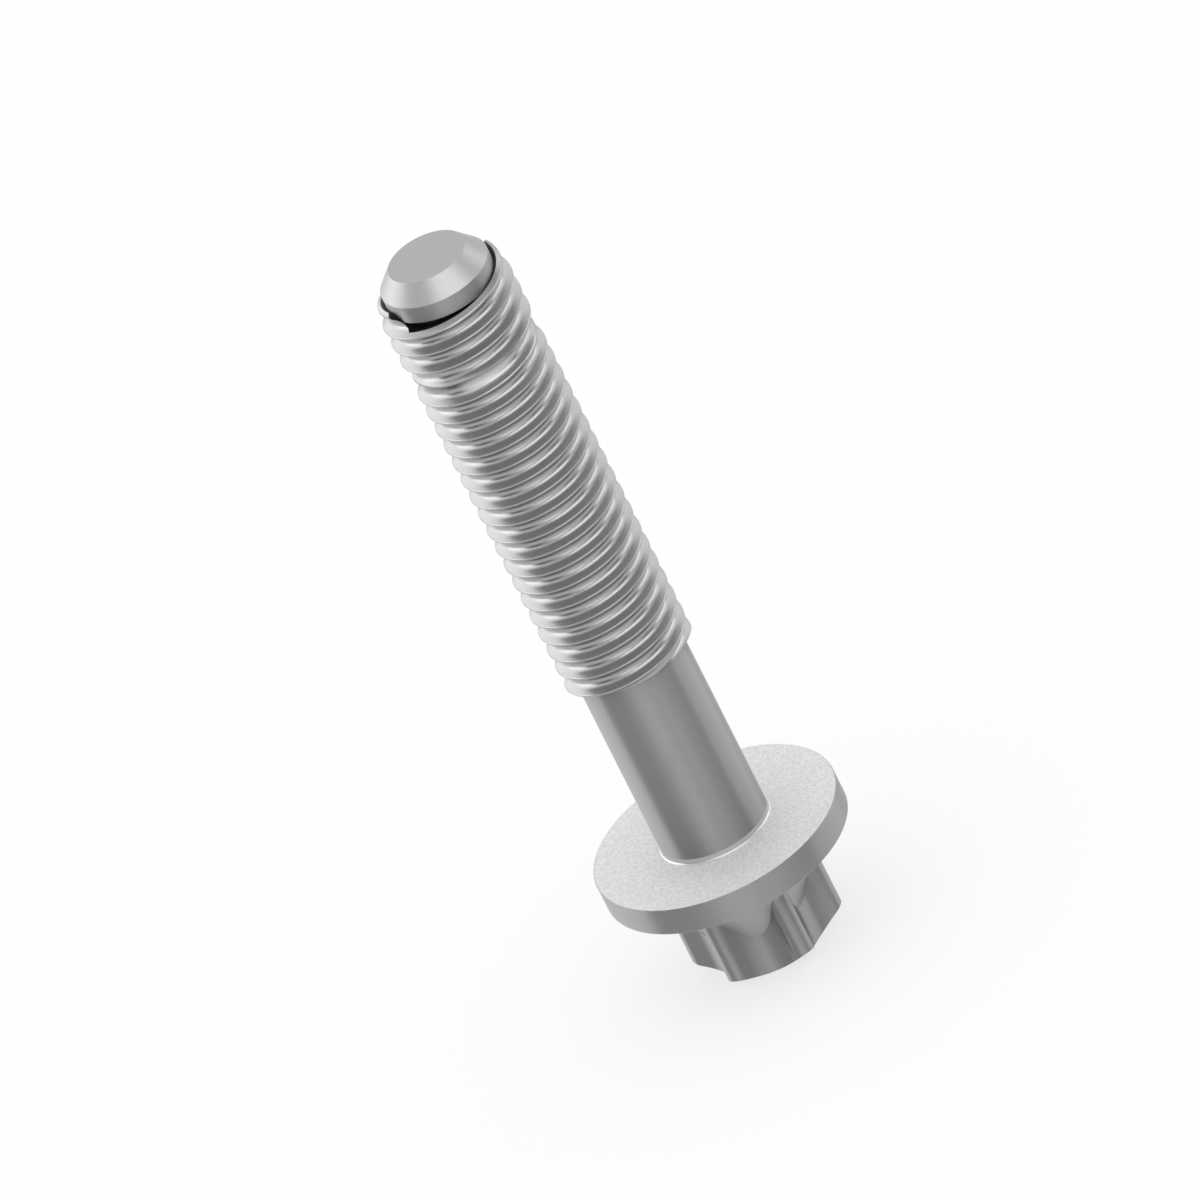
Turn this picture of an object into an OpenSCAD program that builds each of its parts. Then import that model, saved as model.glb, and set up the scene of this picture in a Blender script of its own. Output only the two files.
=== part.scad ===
// Flange screw with a six-lobed external drive, a two-start thread and a pilot point
// Millimetres, standing on the end of its head, +Z along the axis towards the point

/* [Head] */
// Height of the lobed drive, from the head's end to the flange
drive_h = 6.64; // [5:0.02:9]
// Radius over the drive's lobes
lobe_r = 4.61; // [4.2:0.01:5.2]
// Radius at the bottom of the drive's valleys
valley_r = 3.22; // [3.1:0.02:3.6]
// Radius of the rounding on each lobe
lobe_round = 0.66; // [0.4:0.02:0.8]
// Number of lobes
lobes = 6; // [5:1:7]
// Height of the chamfer at the head's end
drive_chamfer_h = 0.8; // [0.2:0.05:1]
// Depth of the chamfer at the head's end, measured across the lobes
drive_chamfer_w = 1.37; // [0.3:0.01:1.4]
// Turn of the lobes about the axis
lobe_turn = 49.8; // [0:0.2:60]

/* [Flange] */
// Radius of the flange
flange_r = 7.5; // [6.5:0.05:9]
// Thickness of the flange
flange_t = 1.72; // [1:0.02:2.5]
// Rounding of the flange's rims
flange_round = 0.04; // [0.02:0.01:0.2]
// Radius of the cone where it meets the flange
cone_r = 5.35; // [4.8:0.05:6]
// Height of the cone below the flange
cone_h = 4.2; // [2:0.05:4.8]

/* [Shank] */
// Radius of the plain shank
shank_r = 3.34; // [3:0.01:3.38]
// Length of the plain shank, from the bearing face to the thread
shank_l = 12.65; // [8:0.05:40]
// Rounding where the shank meets the bearing face
shank_fillet = 0.12; // [0.05:0.01:0.3]

/* [Thread] */
// Outer radius of the thread
thread_r = 4.0; // [3.9:0.01:4.1]
// Depth of the thread
thread_d = 0.58; // [0.45:0.01:0.6]
// Distance between neighbouring ridges
ridge_pitch = 1.25; // [1.1:0.05:1.5]
// Number of thread starts
starts = 2; // [1:1:3]
// Length of the thread
thread_l = 27.15; // [15:0.05:60]
// Width of the land on each crest
crest_w = 0.1; // [0.05:0.01:0.2]
// Slope of the flanks, away from square to the axis
flank_slope = 28; // [25:1:32]
// Height of the first crest above the thread's lower end, at turn angle 0
first_crest = 1.23; // [0:0.01:1.25]
// Distance from the top of the thread to the worn turn
worn_below = 4.45; // [2:0.05:8]
// Share of the ridge's height that the worn turn has lost
worn_share = 0.45; // [0:0.05:0.6]
// Height on either side of the worn turn over which the ridge recovers
worn_reach = 0.5; // [0.2:0.05:1]
// Amount by which the turns above the worn one stand prouder
top_swell = 0.04; // [0:0.01:0.06]
// Depth of the thread's upper edge below the pilot, at its lowest
edge_drop = 0.42; // [0.2:0.02:0.8]
// Turn angle at which that edge is lowest; from there it climbs with the helix
edge_turn = -140; // [-180:10:180]
// Share of the way to the next start in which the edge falls back
edge_fall = 0.11; // [0.1:0.01:0.3]
// Share of its height that the last ridge has lost at the thread's upper edge
edge_taper = 0.4; // [0:0.05:0.6]
// Height over which the last ridge loses it
edge_taper_l = 0.85; // [0.4:0.05:1.5]

/* [Point] */
// Radius of the neck between thread and pilot
neck_r = 2.75; // [2.4:0.05:3]
// Depth of the hollow round the neck, measured on the axis
neck_hollow = 1.2; // [0.4:0.05:2]
// Radius of the pilot
pilot_r = 3.32; // [3.1:0.02:3.38]
// Length of the pilot's straight part
pilot_l = 1.07; // [0.5:0.01:3]
// Height of the pilot's chamfer
pilot_chamfer_h = 1.1; // [0.4:0.05:1.6]
// Width of the pilot's chamfer
pilot_chamfer_w = 0.93; // [0.3:0.01:1.4]

/* [Hidden] */
$fn = 96;
STEPS = 36;
bearing_z = drive_h + flange_t;
thread_z0 = bearing_z + shank_l;
thread_z1 = thread_z0 + thread_l;
pilot_z1 = thread_z1 + pilot_l;
tip_z = pilot_z1 + pilot_chamfer_h;
lead = ridge_pitch * starts;
root_r = thread_r - thread_d;

// Drive outline: rounded lobes and hollow valleys that all but run into each other
CROSS = 0.004;
lobe_c = lobe_r - lobe_round;
valley_k = valley_r - lobe_round + CROSS;
half_turn = 180 / lobes;
valley_c = (lobe_c * lobe_c - valley_k * valley_k) / (2 * (lobe_c * cos(half_turn) - valley_k));
valley_round = valley_c - valley_r;
join_d = (lobe_round - CROSS / 2) / (lobe_round + valley_round - CROSS);

function polar(r, a) = [r * cos(a), r * sin(a)];

// Point where lobe i crosses the valley on one side of it
function join_point(i, side) =
    let (l = polar(lobe_c, 2 * half_turn * i))
    let (v = polar(valley_c, 2 * half_turn * i + side * half_turn))
    l + (v - l) * join_d;

module drive_outline() {
    difference() {
        union() {
            polygon([for (i = [0 : lobes - 1], side = [-1, 1]) join_point(i, side)]);
            for (i = [0 : lobes - 1])
                translate(polar(lobe_c, 2 * half_turn * i))
                    circle(r = lobe_round);
        }
        for (i = [0 : lobes - 1])
            translate(polar(valley_c, 2 * half_turn * i + half_turn))
                circle(r = valley_round);
    }
}

// Lobed drive, chamfered at its end
module drive() {
    intersection() {
        rotate([0, 0, lobe_turn])
            linear_extrude(height = drive_h + flange_t / 2)
                drive_outline();
        rotate_extrude()
            polygon([
                [0, 0],
                [lobe_r - drive_chamfer_w, 0],
                [lobe_r + 0.1, drive_chamfer_h * (1 + 0.1 / drive_chamfer_w)],
                [lobe_r + 0.1, drive_h + flange_t / 2],
                [0, drive_h + flange_t / 2]
            ]);
    }
}

// Cone that fills the valleys towards the flange
module flange_cone() {
    translate([0, 0, drive_h - cone_h])
        cylinder(r1 = valley_r - 0.05, r2 = cone_r, h = cone_h);
}

// Flange with its rims barely broken
module flange() {
    rotate_extrude() {
        translate([0, drive_h])
            square([flange_r - flange_round, flange_t]);
        translate([0, drive_h + flange_round])
            square([flange_r, flange_t - 2 * flange_round]);
        translate([flange_r - flange_round, drive_h + flange_round])
            circle(r = flange_round, $fn = 24);
        translate([flange_r - flange_round, bearing_z - flange_round])
            circle(r = flange_round, $fn = 24);
    }
}

// Plain shank, rounded into the bearing face, that runs on inside the thread
module shank() {
    translate([0, 0, drive_h])
        cylinder(r = shank_r, h = thread_z0 - drive_h + 1);
    rotate_extrude()
        difference() {
            translate([0, bearing_z - 0.1])
                square([shank_r + shank_fillet, shank_fillet + 0.1]);
            translate([shank_r + shank_fillet, bearing_z + shank_fillet])
                circle(r = shank_fillet, $fn = 32);
        }
}

// Ridge profile: a narrow land, straight flanks and a root that is one full round
land = crest_w / 2;
root_round = (ridge_pitch / 2 - land - thread_d * tan(flank_slope))
    / (cos(flank_slope) - (1 - sin(flank_slope)) * tan(flank_slope));
flank_foot = ridge_pitch / 2 - root_round * cos(flank_slope);
root_slope = (90 + flank_slope) / 2;
root_mid = ridge_pitch / 2 - root_round * cos(root_slope);

// Height above the root, as a share of the depth, where the root's round has turned to slope b
function root_rise(b) = root_round * (1 - sin(b)) / thread_d;

half_ridge = [
    [land, 1],
    [flank_foot, root_rise(flank_slope)],
    [root_mid, root_rise(root_slope)]
];
ridge_rows = concat(
    half_ridge,
    [[ridge_pitch / 2, 0]],
    [for (k = [2 : -1 : 0]) [ridge_pitch - half_ridge[k][0], half_ridge[k][1]]]
);
PER = len(ridge_rows);
ridge_curve = concat([[0, 1]], ridge_rows, [[ridge_pitch, 1]]);

// Height of the reference crest in column i of the helical net
function crest_z(i) = thread_z0 + first_crest + lead * i / STEPS - lead;

// Share of its height that a ridge keeps near the worn turn
worn_z = thread_z1 - worn_below;
function kept(z) = 1 - worn_share * exp(-pow((z - worn_z) / worn_reach, 2));

// Extra radius of the turns above the worn one
function swell(z) = top_swell * min(1, max(0, (z - worn_z) / worn_reach));

// Share of its height that a ridge keeps near the thread's upper edge
function tapered(z) =
    1 - edge_taper * min(1, max(0, (z - thread_z1 + edge_drop) / edge_taper_l));

function thread_radius(i, z) =
    let (up = z - crest_z(i))
    let (in_ridge = up - floor(up / ridge_pitch) * ridge_pitch)
    root_r + (thread_d * kept(z) + swell(z)) * tapered(z) * lookup(in_ridge, ridge_curve);

// Height of row j in column i: the rows follow the helix
function row_z(i, j) =
    crest_z(i) + floor(j / PER) * ridge_pitch + ridge_rows[j - floor(j / PER) * PER][0];

// Upper edge of the thread in column i: for each start it climbs with the helix, then falls back
edge_z = thread_z1 - edge_drop;
function start_share(i) =
    let (turns = (i / STEPS - edge_turn / 360) * starts)
    turns - floor(turns);
function climbed(s) = s < 1 - edge_fall ? s : (1 - edge_fall) * (1 - s) / edge_fall;
function top_z(i) = edge_z + ridge_pitch * climbed(start_share(i));

// First row of column i that lies above height z, sought upwards from row j
function first_above(i, z, j) = row_z(i, j) > z ? j : first_above(i, z, j + 1);

// Rows closer to an end than this are left out
CLEAR = 0.01;
function low_row(i) =
    first_above(i, thread_z0 + CLEAR, PER * floor((thread_z0 - crest_z(i)) / ridge_pitch));
function high_row(i) =
    first_above(i, top_z(i) - CLEAR, PER * floor((top_z(i) - crest_z(i)) / ridge_pitch)) - 1;

low_rows = [for (i = [0 : STEPS]) low_row(i)];
high_rows = [for (i = [0 : STEPS]) high_row(i)];
sizes = [for (i = [0 : STEPS - 1]) high_rows[i] - low_rows[i] + 3];
bases = [for (i = 0, s = 0; i < STEPS; s = s + sizes[i], i = i + 1) s];
net_size = bases[STEPS - 1] + sizes[STEPS - 1];

function net_point(i, z) =
    let (r = thread_radius(i, z))
    [r * cos(360 * i / STEPS), r * sin(360 * i / STEPS), z];

function base(i) = bases[i % STEPS];
function low_end(i) = base(i);
function high_end(i) = base(i) + sizes[i % STEPS] - 1;
function net(i, j) = base(i) + 1 + j - low_rows[i];

net_points = [
    for (i = [0 : STEPS - 1])
        each concat(
            [net_point(i, thread_z0)],
            [for (j = [low_rows[i] : high_rows[i]]) net_point(i, row_z(i, j))],
            [net_point(i, top_z(i))]
        )
];

// Triangles of the strip between columns i and i + 1
function strip(i) =
    let (a0 = low_rows[i], a1 = high_rows[i], b0 = low_rows[i + 1], b1 = high_rows[i + 1])
    concat(
        [[low_end(i), net(i + 1, b0), low_end(i + 1)]],
        [for (j = [b0 : 1 : a0 - 1]) [low_end(i), net(i + 1, j + 1), net(i + 1, j)]],
        [[low_end(i), net(i, a0), net(i + 1, a0)]],
        [for (j = [a0 : min(a1, b1) - 1]) each [
            [net(i, j), net(i, j + 1), net(i + 1, j + 1)],
            [net(i, j), net(i + 1, j + 1), net(i + 1, j)]
        ]],
        a1 >= b1 ? falling(i, a1, b1) : climbing(i, a1, b1)
    );

// Upper triangles of a strip whose left column has as many rows or more
function falling(i, a1, b1) = concat(
    [[net(i + 1, b1), net(i, b1), high_end(i + 1)]],
    [for (j = [b1 : 1 : a1 - 1]) [net(i, j), net(i, j + 1), high_end(i + 1)]],
    [[net(i, a1), high_end(i), high_end(i + 1)]]
);

// Upper triangles of a strip whose right column has more rows
function climbing(i, a1, b1) = concat(
    [[net(i, a1), high_end(i), net(i + 1, a1)]],
    [for (j = [a1 : 1 : b1 - 1]) [net(i + 1, j), high_end(i), net(i + 1, j + 1)]],
    [[net(i + 1, b1), high_end(i), high_end(i + 1)]]
);

// Two-start thread: one closed net whose rows follow the helix
module thread() {
    polyhedron(
        points = concat(net_points, [[0, 0, thread_z0], [0, 0, edge_z - neck_hollow]]),
        faces = concat(
            [for (i = [0 : STEPS - 1]) each strip(i)],
            [for (i = [0 : STEPS - 1]) [net_size, low_end(i), low_end(i + 1)]],
            [for (i = [0 : STEPS - 1]) [net_size + 1, high_end(i + 1), high_end(i)]]
        ),
        convexity = 10
    );
}

// Neck, pilot and its chamfer
module point() {
    translate([0, 0, edge_z - neck_hollow - 0.5])
        cylinder(r = neck_r, h = edge_drop + neck_hollow + 0.6);
    rotate_extrude()
        polygon([
            [0, thread_z1],
            [pilot_r, thread_z1],
            [pilot_r, pilot_z1],
            [pilot_r - pilot_chamfer_w, tip_z],
            [0, tip_z]
        ]);
}

module screw() {
    color("silver") {
        drive();
        flange_cone();
        flange();
        shank();
        thread();
        point();
    }
}

screw();
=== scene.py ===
import math

import bpy
import numpy as np
from mathutils import Matrix, Vector


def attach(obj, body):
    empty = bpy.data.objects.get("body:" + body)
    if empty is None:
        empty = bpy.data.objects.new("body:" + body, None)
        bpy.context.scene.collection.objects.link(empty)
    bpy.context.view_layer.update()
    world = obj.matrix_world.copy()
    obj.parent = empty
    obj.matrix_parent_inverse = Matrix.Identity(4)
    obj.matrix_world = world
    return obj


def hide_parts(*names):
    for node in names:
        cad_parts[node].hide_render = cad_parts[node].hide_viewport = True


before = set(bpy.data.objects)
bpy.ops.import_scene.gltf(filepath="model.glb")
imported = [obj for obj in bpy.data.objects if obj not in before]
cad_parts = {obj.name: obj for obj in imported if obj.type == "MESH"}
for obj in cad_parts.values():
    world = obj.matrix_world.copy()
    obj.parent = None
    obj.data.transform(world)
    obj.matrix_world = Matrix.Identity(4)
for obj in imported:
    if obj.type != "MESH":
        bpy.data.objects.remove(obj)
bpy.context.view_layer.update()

# The screw's sizes in millimetres, the same as those of the solid
MM = 0.001
DRIVE_H = 6.64
LOBE_R = 4.61
VALLEY_R = 3.22
LOBE_ROUND = 0.66
LOBES = 6
DRIVE_CHAMFER_H = 0.8
DRIVE_CHAMFER_W = 1.37
LOBE_TURN = 49.8
FLANGE_R = 7.5
FLANGE_T = 1.72
FLANGE_ROUND = 0.04
CONE_R = 5.35
CONE_H = 4.2
CONE_SINK = 0.05
SHANK_R = 3.34
SHANK_L = 12.65
SHANK_FILLET = 0.12
THREAD_R = 4.0
THREAD_D = 0.58
PITCH = 1.25
STARTS = 2
THREAD_L = 27.15
CREST_W = 0.1
FLANK_SLOPE = 28.0
FIRST_CREST = 1.23
WORN_BELOW = 4.45
WORN_SHARE = 0.45
WORN_REACH = 0.5
TOP_SWELL = 0.04
NECK_R = 2.75
EDGE_DROP = 0.42
EDGE_TURN = -140.0
EDGE_FALL = 0.11
EDGE_TAPER = 0.4
EDGE_TAPER_L = 0.85
NECK_HOLLOW = 1.2
PILOT_R = 3.32
PILOT_L = 1.07
PILOT_CHAMFER_H = 1.1
PILOT_CHAMFER_W = 0.93

BEARING_Z = DRIVE_H + FLANGE_T
THREAD_Z0 = BEARING_Z + SHANK_L
THREAD_Z1 = THREAD_Z0 + THREAD_L
PILOT_Z1 = THREAD_Z1 + PILOT_L
TIP_Z = PILOT_Z1 + PILOT_CHAMFER_H
ROOT_R = THREAD_R - THREAD_D
LEAD = PITCH * STARTS
WORN_Z = THREAD_Z1 - WORN_BELOW
EDGE_Z = THREAD_Z1 - EDGE_DROP

# How fine the mesh is, and what softens the thread's crest in it
ARC_POINTS = 13
CORNER_POINTS = 7
FILLET_POINTS = 8
ROOT_POINTS = 6
THREAD_COLUMNS = 144
POINT_COLUMNS = 192
SHARP_ANGLE = 20
CREST_FLAT = 0.6  # share of the crest's land that stays flat
CREST_EDGE = 0.015  # how far beside the land its edge is broken
CREST_FALL = 0.8  # share of the flank's own fall that is reached there
SEAM = 0.02  # reach of one surface under the next, so that no gap shows
MERGE = 1e-5  # points that agree to this become one

# Surfaces of the mesh, in the order of its material slots
TURNED, FACE, PLAIN, ROLLED, FILLET_HIGHLIGHT, SHADED_GROOVE = range(6)

# Finish of each surface: name, roughness, colour, grain, and what else sets it apart
FINISHES = (
    ("steel_turned", 0.46, (0.33, 0.336, 0.334), 0.04, {"stretch": 3.0, "anisotropic": 1.0}),
    ("steel_face", 0.7, (0.73, 0.735, 0.735), 0.12, {"metal": 0.4}),
    ("steel_plain", 0.4, (0.38, 0.384, 0.387), 0.03, {}),
    ("steel_rolled", 0.29, (0.36, 0.365, 0.364), 0.03, {}),
    # painted highlight: the fillet's upper part and the foot of the shank are coloured much
    # lighter than the steel, standing for a bright reflection there
    ("steel_fillet_painted_highlight", 0.32, (0.58, 0.585, 0.585), 0.02, {}),
    # painted shade: near-black colour on the neck's hollow and the pilot's underside, standing
    # for the shade in that recess
    ("steel_groove_painted_shade", 0.5, (0.07, 0.071, 0.071), 0.05, {}),
)
GRAIN_SCALE = 5000.0
GRAIN_DETAIL = 4.0
GRAIN_LIMITS = (0.3, 0.7)  # noise that gives the darkest and the lightest grain
GRAIN_DEPTH = 0.00004
ROUGHNESS_SPREAD = 0.03

# Painted reflection: a light patch painted into the colour on the front of the worn turn, in
# metres. Each pair says where the patch
# is full and where it has faded out: off the ridge, off its centre and towards the back.
REFLECTION_PATCH_COLOUR = (0.56, 0.565, 0.563, 1)
PATCH_ROUGHNESS = 0.45
PATCH_DROP = 0.0002
PATCH_Z = WORN_Z * MM - PATCH_DROP
PATCH_CLIMB = 0.1
PATCH_X = 0.00005
PATCH_HALF_H = (0.0003, 0.0005)
PATCH_HALF_W = (0.0012, 0.002)
PATCH_FRONT = (-0.002, 0.0)

# Camera: looks down along +Y, rolled so that the axis leans to the upper left
ELEVATION = math.radians(30)
ROLL = math.radians(26.8)
TARGET = Vector((0.00001, 0, 0.02508))
CAMERA_DISTANCE = 0.4
PHOTO_PIXELS = 1200
PIXELS_PER_MM = 17.6
VIEW_SIZE = PHOTO_PIXELS / PIXELS_PER_MM * MM

# Studio: the floor's size, height and share of own light, and the panels
FLOOR_SIZE = 8
FLOOR_Z = -0.00002
FLOOR_SHARE = 0.65
AIM = Vector((0, 0, 0.025))
PANEL_STEPS = 24
# Name, both azimuths, both elevations, distance in metres and brightness, where 1 is white
PANELS = (
    ("left_strip", -130, -90, -2, 18, 0.55, 2.8),
    ("left_back", -165, -90, -2, 36, 0.6, 2.0),
    ("left_flag", -88, -48, -2, 22, 0.6, 0.1),
    ("front_left", -48, -32, -2, 22, 0.6, 0.8),
    ("front_strip", -32, 2, -2, 20, 0.6, 2.0),
    ("front_right", 2, 30, -2, 22, 0.6, 1.1),
    ("right_flag", 30, 69, -2, 22, 0.6, 0.25),
    ("right_strip", 69, 120, -2, 18, 0.6, 2.35),
    ("front_flag", -60, 70, 23, 38, 0.6, 0.7),
    ("key", -25, 65, 38, 64, 0.55, 2.6),
    ("right_back", 100, 175, 18, 42, 0.6, 1.6),
    ("right_high", 90, 130, 42, 66, 0.6, 0.5),
    ("right_top", 130, 175, 42, 66, 0.6, 1.2),
    ("left_high", -92, -60, 38, 62, 0.6, 1.2),
    ("left_top_flag", -132, -92, 36, 66, 0.6, 0.5),
    ("left_top", -165, -132, 36, 66, 0.6, 1.6),
    ("top_flag", 0, 360, 67, 90, 0.5, 0.8),
)


class Skin:
    """Collects points and faces, then makes one mesh of them with equal points merged."""

    def __init__(self):
        self.points = []
        self.faces = []
        self.kinds = []
        self.count = 0

    def grid(self, points, kinds, closed=True):
        """points is an array (columns, rows, 3); kinds has one surface for each row step."""
        cols, rows, _ = points.shape
        base = self.count
        self.points.append(points.reshape(-1, 3))
        self.count += cols * rows
        steps = cols if closed else cols - 1
        for i in range(steps):
            a = base + i * rows
            b = base + ((i + 1) % cols) * rows
            for j in range(rows - 1):
                self.faces.append((a + j, b + j, b + j + 1, a + j + 1))
                self.kinds.append(kinds[j])

    def make(self, name):
        points = np.vstack(self.points)
        keys = np.round(points / MERGE).astype(np.int64)
        _, first, index = np.unique(keys, axis=0, return_index=True, return_inverse=True)
        index = index.reshape(-1)

        # Only faces that keep three different points or more are left
        faces, kinds = [], []
        for face, kind in zip(self.faces, self.kinds):
            ring = []
            for k in face:
                m = int(index[k])
                if not ring or (ring[-1] != m and ring[0] != m):
                    ring.append(m)
            if len(ring) > 2 and len(set(ring)) == len(ring):
                faces.append(ring)
                kinds.append(kind)
        mesh = bpy.data.meshes.new(name)
        mesh.from_pydata((points[first] * MM).tolist(), [], faces)
        mesh.polygons.foreach_set("material_index", kinds)
        mesh.update()
        mesh.validate()
        obj = bpy.data.objects.new(name, mesh)
        bpy.context.scene.collection.objects.link(obj)
        return obj


def turn(radii, heights, angles):
    """Points at radii and heights, (columns, rows), turned to one angle in radians a column."""
    out = np.zeros((len(angles), radii.shape[1], 3))
    out[:, :, 0] = np.cos(angles)[:, None] * radii
    out[:, :, 1] = np.sin(angles)[:, None] * radii
    out[:, :, 2] = heights
    return out


def outline():
    """Angle and radius of the drive's outline, point by point round the axis."""
    half = math.pi / LOBES
    lobe_c = LOBE_R - LOBE_ROUND
    k = VALLEY_R - LOBE_ROUND
    valley_c = (lobe_c ** 2 - k ** 2) / (2 * (lobe_c * math.cos(half) - k))
    valley_round = valley_c - VALLEY_R
    lobe = np.array([lobe_c, 0.0])
    valley = valley_c * np.array([math.cos(half), math.sin(half)])

    # From the middle of a lobe over its round and the valley's to the middle of the valley
    lean = math.atan2(*(valley - lobe)[::-1])
    arc = [lobe + LOBE_ROUND * np.array([math.cos(t), math.sin(t)])
           for t in np.linspace(0, lean, ARC_POINTS)]
    start = lean + math.pi
    stop = half + math.pi
    arc += [valley + valley_round * np.array([math.cos(t), math.sin(t)])
            for t in np.linspace(start, stop, ARC_POINTS)[1:]]
    arc = np.array(arc)
    angle = np.arctan2(arc[:, 1], arc[:, 0])
    radius = np.hypot(arc[:, 0], arc[:, 1])

    # Mirrored for the whole lobe, which is then repeated
    one_angle = np.concatenate([-angle[:0:-1], angle[:-1]])
    one_radius = np.concatenate([radius[:0:-1], radius[:-1]])
    angles = np.concatenate([one_angle + 2 * half * i for i in range(LOBES)])
    return angles + math.radians(LOBE_TURN), np.tile(one_radius, LOBES)


def corner(r, z, size, start, stop, count):
    """Points of a small rounding about (r, z), between two angles in degrees."""
    return [(r + size * math.cos(math.radians(a)), z + size * math.sin(math.radians(a)))
            for a in np.linspace(start, stop, count)]


def head(skin):
    """Drive, cone, flange and shank: a profile for each point of the drive's outline."""
    angles, radii = outline()
    end_r = LOBE_R - DRIVE_CHAMFER_W
    cone_end_r = VALLEY_R - CONE_SINK
    rim_r = FLANGE_R - FLANGE_ROUND
    fillet = corner(SHANK_R + SHANK_FILLET, BEARING_Z + SHANK_FILLET, SHANK_FILLET,
                    270, 180, FILLET_POINTS)
    shank = [(SHANK_R, BEARING_Z + SHANK_FILLET + (SHANK_L - SHANK_FILLET) * t)
             for t in (0.02, 0.5, 1)]
    columns = []
    for radius in radii:
        flat_r = min(end_r, radius)
        wall_z = max(0.0, (radius - end_r) * DRIVE_CHAMFER_H / DRIVE_CHAMFER_W)
        cone_z = DRIVE_H - CONE_H + CONE_H * (radius - cone_end_r) / (CONE_R - cone_end_r)
        chamfer = [(flat_r + (radius - flat_r) * t, wall_z * t) for t in (0.5, 1)]
        wall = [(radius, wall_z + (cone_z - wall_z) * t) for t in (0.25, 0.5, 0.75, 1)]
        cone = [(radius + (CONE_R - radius) * t, cone_z + (DRIVE_H - cone_z) * t)
                for t in (0.35, 0.7, 1)]
        lower_rim = corner(rim_r, DRIVE_H + FLANGE_ROUND, FLANGE_ROUND, -90, 0, CORNER_POINTS)
        upper_rim = corner(rim_r, BEARING_Z - FLANGE_ROUND, FLANGE_ROUND, 0, 90, CORNER_POINTS)
        rows, kinds = [(0, 0)], []
        for part, kind in (([(flat_r, 0)], PLAIN), (chamfer, PLAIN), (wall, TURNED),
                           (cone, PLAIN), (lower_rim, PLAIN), (upper_rim, TURNED),
                           # the fillet's upper rows and the shank's foot carry the painted
                           # highlight
                           (fillet[:2], FACE), (fillet[2:] + shank[:1], FILLET_HIGHLIGHT),
                           (shank[1:], TURNED)):
            rows += part
            kinds += [kind] * len(part)
        columns.append(rows)
    columns = np.array(columns)
    skin.grid(turn(columns[:, :, 0], columns[:, :, 1], angles), kinds)


def ridge_rows():
    """Rows of the thread's net over one ridge: way up from the crest, share of its height."""
    land = CREST_W / 2
    slope = math.radians(FLANK_SLOPE)
    root = ((PITCH / 2 - land - THREAD_D * math.tan(slope))
            / (math.cos(slope) - (1 - math.sin(slope)) * math.tan(slope)))
    foot = PITCH / 2 - root * math.cos(slope)
    broken = CREST_EDGE / math.tan(slope) / THREAD_D * CREST_FALL
    half = [(0, 1), (land * CREST_FLAT, 1), (land + CREST_EDGE, 1 - broken)]
    for t in (0.25, 0.5, 0.75):
        half.append((land + (foot - land) * t,
                     1 + (root * (1 - math.sin(slope)) / THREAD_D - 1) * t))
    for degrees in np.linspace(FLANK_SLOPE, 90, ROOT_POINTS):
        b = math.radians(degrees)
        half.append((PITCH / 2 - root * math.cos(b), root * (1 - math.sin(b)) / THREAD_D))
    other = [(PITCH - s, h) for s, h in half[-2:0:-1]]
    return np.array(half + other)


def thread(skin):
    """Both starts as one net: the radius follows from the height above the nearest crest."""
    rows = ridge_rows()

    # More ridges than the length holds: what is past its ends is clipped
    ridges = int(math.ceil(THREAD_L / PITCH)) + STARTS + 2
    offset = np.concatenate([rows[:, 0] + PITCH * k for k in range(-1, ridges)])
    turn_share = np.arange(THREAD_COLUMNS + 1) / THREAD_COLUMNS
    angles = 2 * math.pi * turn_share
    crest = THREAD_Z0 + FIRST_CREST + LEAD * turn_share - LEAD

    # The upper edge climbs with each start and falls back steeply at its end; the last column
    # closes on the first
    share = np.mod((turn_share - EDGE_TURN / 360) * STARTS, 1.0)
    share[-1] = share[0]
    falling = (1 - EDGE_FALL) * (1 - share) / EDGE_FALL
    top = EDGE_Z + PITCH * np.where(share < 1 - EDGE_FALL, share, falling)

    z = crest[:, None] + offset[None, :]
    clipped = np.clip(z, THREAD_Z0, top[:, None])
    up = np.mod(clipped - crest[:, None], PITCH)
    table = np.vstack([rows, [[PITCH, 1]]])
    ridge = np.interp(up, table[:, 0], table[:, 1])
    kept = 1 - WORN_SHARE * np.exp(-(((clipped - WORN_Z) / WORN_REACH) ** 2))
    swell = TOP_SWELL * np.clip((clipped - WORN_Z) / WORN_REACH, 0, 1)
    tapered = 1 - EDGE_TAPER * np.clip((clipped - EDGE_Z) / EDGE_TAPER_L, 0, 1)
    radius = ROOT_R + (THREAD_D * kept + swell) * tapered * ridge
    skin.grid(turn(radius, clipped, angles), [ROLLED] * (len(offset) - 1), closed=False)

    # From the upper edge down into the hollow, and the step down to the shank
    rim_r = radius[:, -1:]
    inward = rim_r + (NECK_R - SEAM - rim_r) * np.array([0, 0.04, 0.5, 1])
    hollow_z = top[:, None] + (EDGE_Z - NECK_HOLLOW - top[:, None]) * (1 - inward / rim_r)
    # the two lower rows into the hollow carry the painted shade
    skin.grid(turn(inward, hollow_z, angles), [PLAIN, SHADED_GROOVE, SHADED_GROOVE], closed=False)
    step_r = np.stack([np.full(len(angles), SHANK_R - SEAM), radius[:, 0]], -1)
    skin.grid(turn(step_r, THREAD_Z0, angles), [PLAIN], closed=False)


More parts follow.
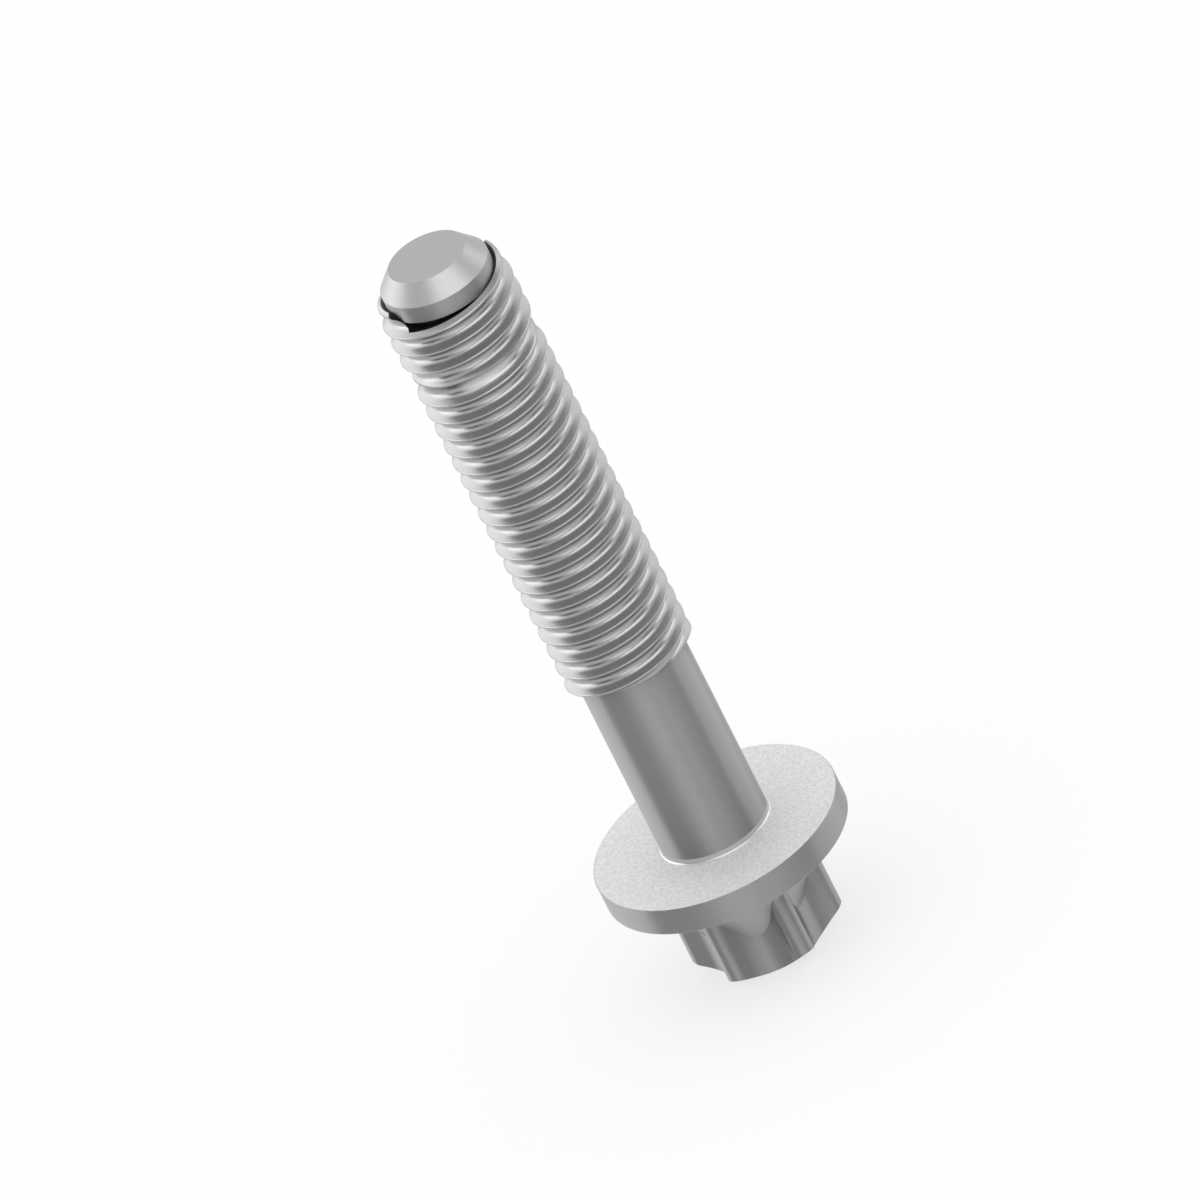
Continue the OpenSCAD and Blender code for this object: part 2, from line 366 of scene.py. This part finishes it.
def point(skin):
    """Neck, pilot and its chamfered end."""
    angles = np.linspace(0, 2 * math.pi, POINT_COLUMNS + 1)[:-1]
    end_r = PILOT_R - PILOT_CHAMFER_W
    profile = np.array([(NECK_R, EDGE_Z - NECK_HOLLOW), (NECK_R, THREAD_Z1),
                        (PILOT_R, THREAD_Z1), (PILOT_R, PILOT_Z1), (end_r, TIP_Z), (0, TIP_Z)])
    # the neck and the pilot's underside carry the painted shade
    kinds = [SHADED_GROOVE, SHADED_GROOVE, TURNED, PLAIN, PLAIN]
    skin.grid(turn(profile[None, :, 0], profile[None, :, 1], angles), kinds)


def build_screw():
    skin = Skin()
    head(skin)
    thread(skin)
    point(skin)
    obj = skin.make("screw_skin")
    for poly in obj.data.polygons:
        poly.use_smooth = True
    obj.data.set_sharp_from_angle(angle=math.radians(SHARP_ANGLE))
    return obj


def empty_material(name):
    """A material with only its output; gives it, its nodes, its links and the output."""
    mat = bpy.data.materials.new(name)
    mat.use_nodes = True
    nodes, links = mat.node_tree.nodes, mat.node_tree.links
    nodes.clear()
    return mat, nodes, links, nodes.new("ShaderNodeOutputMaterial")


def maths(mat, operation, *values):
    """Result of one operation in a material; each value is a number or a node's output."""
    node = mat.node_tree.nodes.new("ShaderNodeMath")
    node.operation = operation
    for socket, value in zip(node.inputs, values):
        if isinstance(value, (int, float)):
            socket.default_value = value
        else:
            mat.node_tree.links.new(value, socket)
    return node.outputs[0]


def fade(mat, value, full, none):
    """1 where the value is at full or past it, 0 from none on, and a soft change between."""
    node = mat.node_tree.nodes.new("ShaderNodeMapRange")
    node.interpolation_type = "SMOOTHSTEP"
    node.inputs["From Min"].default_value = none
    node.inputs["From Max"].default_value = full
    mat.node_tree.links.new(value, node.inputs["Value"])
    return node.outputs["Result"]


def steel(name, roughness, colour, grain, stretch=1.0, anisotropic=0.0, metal=1.0):
    """Steel with grain in its colour, roughness and relief; stretch packs it along the axis."""
    mat, nodes, links, out = empty_material(name)
    shader = nodes.new("ShaderNodeBsdfPrincipled")
    shader.inputs["Metallic"].default_value = metal
    shader.inputs["Anisotropic"].default_value = anisotropic
    shader.inputs["Anisotropic Rotation"].default_value = 0.25
    links.new(shader.outputs["BSDF"], out.inputs["Surface"])
    place = nodes.new("ShaderNodeTexCoord")
    pack = nodes.new("ShaderNodeMapping")
    pack.inputs["Scale"].default_value = (1, 1, stretch)
    links.new(place.outputs["Object"], pack.inputs["Vector"])
    noise = nodes.new("ShaderNodeTexNoise")
    noise.inputs["Scale"].default_value = GRAIN_SCALE
    noise.inputs["Detail"].default_value = GRAIN_DETAIL
    links.new(pack.outputs["Vector"], noise.inputs["Vector"])
    ramp = nodes.new("ShaderNodeMapRange")
    ramp.inputs["From Min"].default_value = GRAIN_LIMITS[0]
    ramp.inputs["From Max"].default_value = GRAIN_LIMITS[1]
    ramp.inputs["To Min"].default_value = 1.0 - grain
    ramp.inputs["To Max"].default_value = 1.0 + grain
    links.new(noise.outputs["Fac"], ramp.inputs["Value"])
    tint = nodes.new("ShaderNodeMix")
    tint.data_type = "RGBA"
    tint.blend_type = "MULTIPLY"
    tint.inputs["Factor"].default_value = 1.0
    tint.inputs["A"].default_value = (*colour, 1)
    links.new(ramp.outputs["Result"], tint.inputs["B"])
    links.new(tint.outputs["Result"], shader.inputs["Base Color"])
    rough = nodes.new("ShaderNodeMapRange")
    rough.inputs["To Min"].default_value = roughness - ROUGHNESS_SPREAD
    rough.inputs["To Max"].default_value = roughness + ROUGHNESS_SPREAD
    links.new(noise.outputs["Fac"], rough.inputs["Value"])
    links.new(rough.outputs["Result"], shader.inputs["Roughness"])
    relief = nodes.new("ShaderNodeBump")
    relief.inputs["Strength"].default_value = grain
    relief.inputs["Distance"].default_value = GRAIN_DEPTH
    links.new(noise.outputs["Fac"], relief.inputs["Height"])
    links.new(relief.outputs["Normal"], shader.inputs["Normal"])
    if anisotropic:
        tangent = nodes.new("ShaderNodeTangent")
        tangent.direction_type = "RADIAL"
        tangent.axis = "Z"
        links.new(tangent.outputs["Tangent"], shader.inputs["Tangent"])
    return mat


def paint_worn_turn_reflection(mat):
    """Paints a reflection on the front of the worn turn: a smooth light patch, painted into the
    colour, that follows the ridge.
    """
    nodes, links = mat.node_tree.nodes, mat.node_tree.links
    shader = nodes["Principled BSDF"]
    colour = shader.inputs["Base Color"].links[0].from_socket
    rough = shader.inputs["Roughness"].links[0].from_socket
    place = nodes.new("ShaderNodeTexCoord")
    axes = nodes.new("ShaderNodeSeparateXYZ")
    links.new(place.outputs["Object"], axes.inputs[0])
    ridge = maths(mat, "MULTIPLY", axes.outputs["X"], PATCH_CLIMB)
    height = maths(mat, "SUBTRACT", axes.outputs["Z"], PATCH_Z)
    off_ridge = maths(mat, "ABSOLUTE", maths(mat, "SUBTRACT", height, ridge))
    off_centre = maths(mat, "ABSOLUTE", maths(mat, "SUBTRACT", axes.outputs["X"], PATCH_X))
    patch = fade(mat, off_ridge, *PATCH_HALF_H)
    patch = maths(mat, "MULTIPLY", patch, fade(mat, off_centre, *PATCH_HALF_W))
    patch = maths(mat, "MULTIPLY", patch, fade(mat, axes.outputs["Y"], *PATCH_FRONT))
    light = nodes.new("ShaderNodeMix")
    light.data_type = "RGBA"
    links.new(patch, light.inputs["Factor"])
    links.new(colour, light.inputs["A"])
    light.inputs["B"].default_value = REFLECTION_PATCH_COLOUR
    links.new(light.outputs["Result"], shader.inputs["Base Color"])
    smooth = nodes.new("ShaderNodeMix")
    links.new(patch, smooth.inputs["Factor"])
    links.new(rough, smooth.inputs["A"])
    smooth.inputs["B"].default_value = PATCH_ROUGHNESS
    links.new(smooth.outputs["Result"], shader.inputs["Roughness"])


def make_camera():
    back = Vector((0, -math.cos(ELEVATION), math.sin(ELEVATION)))
    up = Vector((0, math.sin(ELEVATION), math.cos(ELEVATION)))
    right = Vector((1, 0, 0))
    cam_up = up * math.cos(ROLL) + right * math.sin(ROLL)
    cam_right = right * math.cos(ROLL) - up * math.sin(ROLL)
    data = bpy.data.cameras.new("camera")
    data.type = "ORTHO"
    data.ortho_scale = VIEW_SIZE
    data.clip_end = 10
    camera = bpy.data.objects.new("camera", data)
    bpy.context.scene.collection.objects.link(camera)
    camera.matrix_world = Matrix([
        (cam_right[i], cam_up[i], back[i], TARGET[i] + back[i] * CAMERA_DISTANCE)
        for i in range(3)
    ] + [(0, 0, 0, 1)])
    bpy.context.scene.camera = camera


def studio_mesh(name, points, faces, mat):
    """One mesh of the studio with its material."""
    mesh = bpy.data.meshes.new(name)
    mesh.from_pydata(points, [], faces)
    mesh.materials.append(mat)
    obj = bpy.data.objects.new(name, mesh)
    bpy.context.scene.collection.objects.link(obj)
    return obj


def pale(name, share):
    """Floor that shows white to the camera and to reflections, and keeps a soft shadow."""
    mat, nodes, links, out = empty_material(name)
    cloth = nodes.new("ShaderNodeBsdfDiffuse")
    cloth.inputs["Color"].default_value = (1 - share, 1 - share, 1 - share, 1)
    glow = nodes.new("ShaderNodeEmission")
    path = nodes.new("ShaderNodeLightPath")
    seen = maths(mat, "MAXIMUM", path.outputs["Is Camera Ray"], path.outputs["Is Glossy Ray"])
    seen = maths(mat, "MAXIMUM", seen, path.outputs["Is Transmission Ray"])
    links.new(maths(mat, "MULTIPLY", seen, share), glow.inputs["Strength"])
    add = nodes.new("ShaderNodeAddShader")
    links.new(cloth.outputs[0], add.inputs[0])
    links.new(glow.outputs[0], add.inputs[1])
    links.new(add.outputs[0], out.inputs["Surface"])
    mat.cycles.emission_sampling = "NONE"
    return mat


def make_floor():
    half = FLOOR_SIZE / 2
    points = [(-half, -half, 0), (half, -half, 0), (half, half, 0), (-half, half, 0)]
    floor = studio_mesh("floor", points, [(0, 1, 2, 3)], pale("floor_pale", FLOOR_SHARE))
    floor.location = (0, 0, FLOOR_Z)


def make_world():
    world = bpy.data.worlds.new("world")
    bpy.context.scene.world = world
    world.use_nodes = True
    background = world.node_tree.nodes["Background"]
    background.inputs["Color"].default_value = (1, 1, 1, 1)
    background.inputs["Strength"].default_value = 1.0
    world.cycles.sampling_method = "NONE"


def toward(azimuth, elevation):
    """Direction from the screw; azimuth 0 is the camera's side and 90 the right."""
    a, e = math.radians(azimuth), math.radians(elevation)
    return Vector((math.sin(a) * math.cos(e), -math.cos(a) * math.cos(e), math.sin(e)))


def panel(name, az0, az1, el0, el1, radius, level):
    """Curved panel around the screw with an even brightness, which shows in reflections only."""
    heights = (el0, (el0 + el1) / 2, el1)
    rows = len(heights)
    points, faces = [], []
    for k in range(PANEL_STEPS + 1):
        for height in heights:
            spot = AIM + toward(az0 + (az1 - az0) * k / PANEL_STEPS, height) * radius
            points.append(tuple(spot))
    for k in range(PANEL_STEPS):
        for j in range(rows - 1):
            a = k * rows + j
            faces.append((a, a + rows, a + rows + 1, a + 1))
    mat, nodes, links, out = empty_material(name)
    glow = nodes.new("ShaderNodeEmission")
    glow.inputs["Strength"].default_value = level
    links.new(glow.outputs[0], out.inputs["Surface"])
    mat.cycles.emission_sampling = "NONE"
    obj = studio_mesh(name, points, faces, mat)
    obj.visible_camera = False
    obj.visible_diffuse = False
    obj.visible_shadow = False
    obj.visible_transmission = False


screw = build_screw()
for name, roughness, colour, grain, extra in FINISHES:
    screw.data.materials.append(steel(name, roughness, colour, grain, **extra))
# painted reflection: a light patch on the front of the rolled thread's worn turn
paint_worn_turn_reflection(screw.data.materials[ROLLED])
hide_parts("screw")
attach(screw, "root")

make_camera()
make_floor()
make_world()
for values in PANELS:
    panel(*values)

bpy.context.scene.view_settings.view_transform = "Standard"
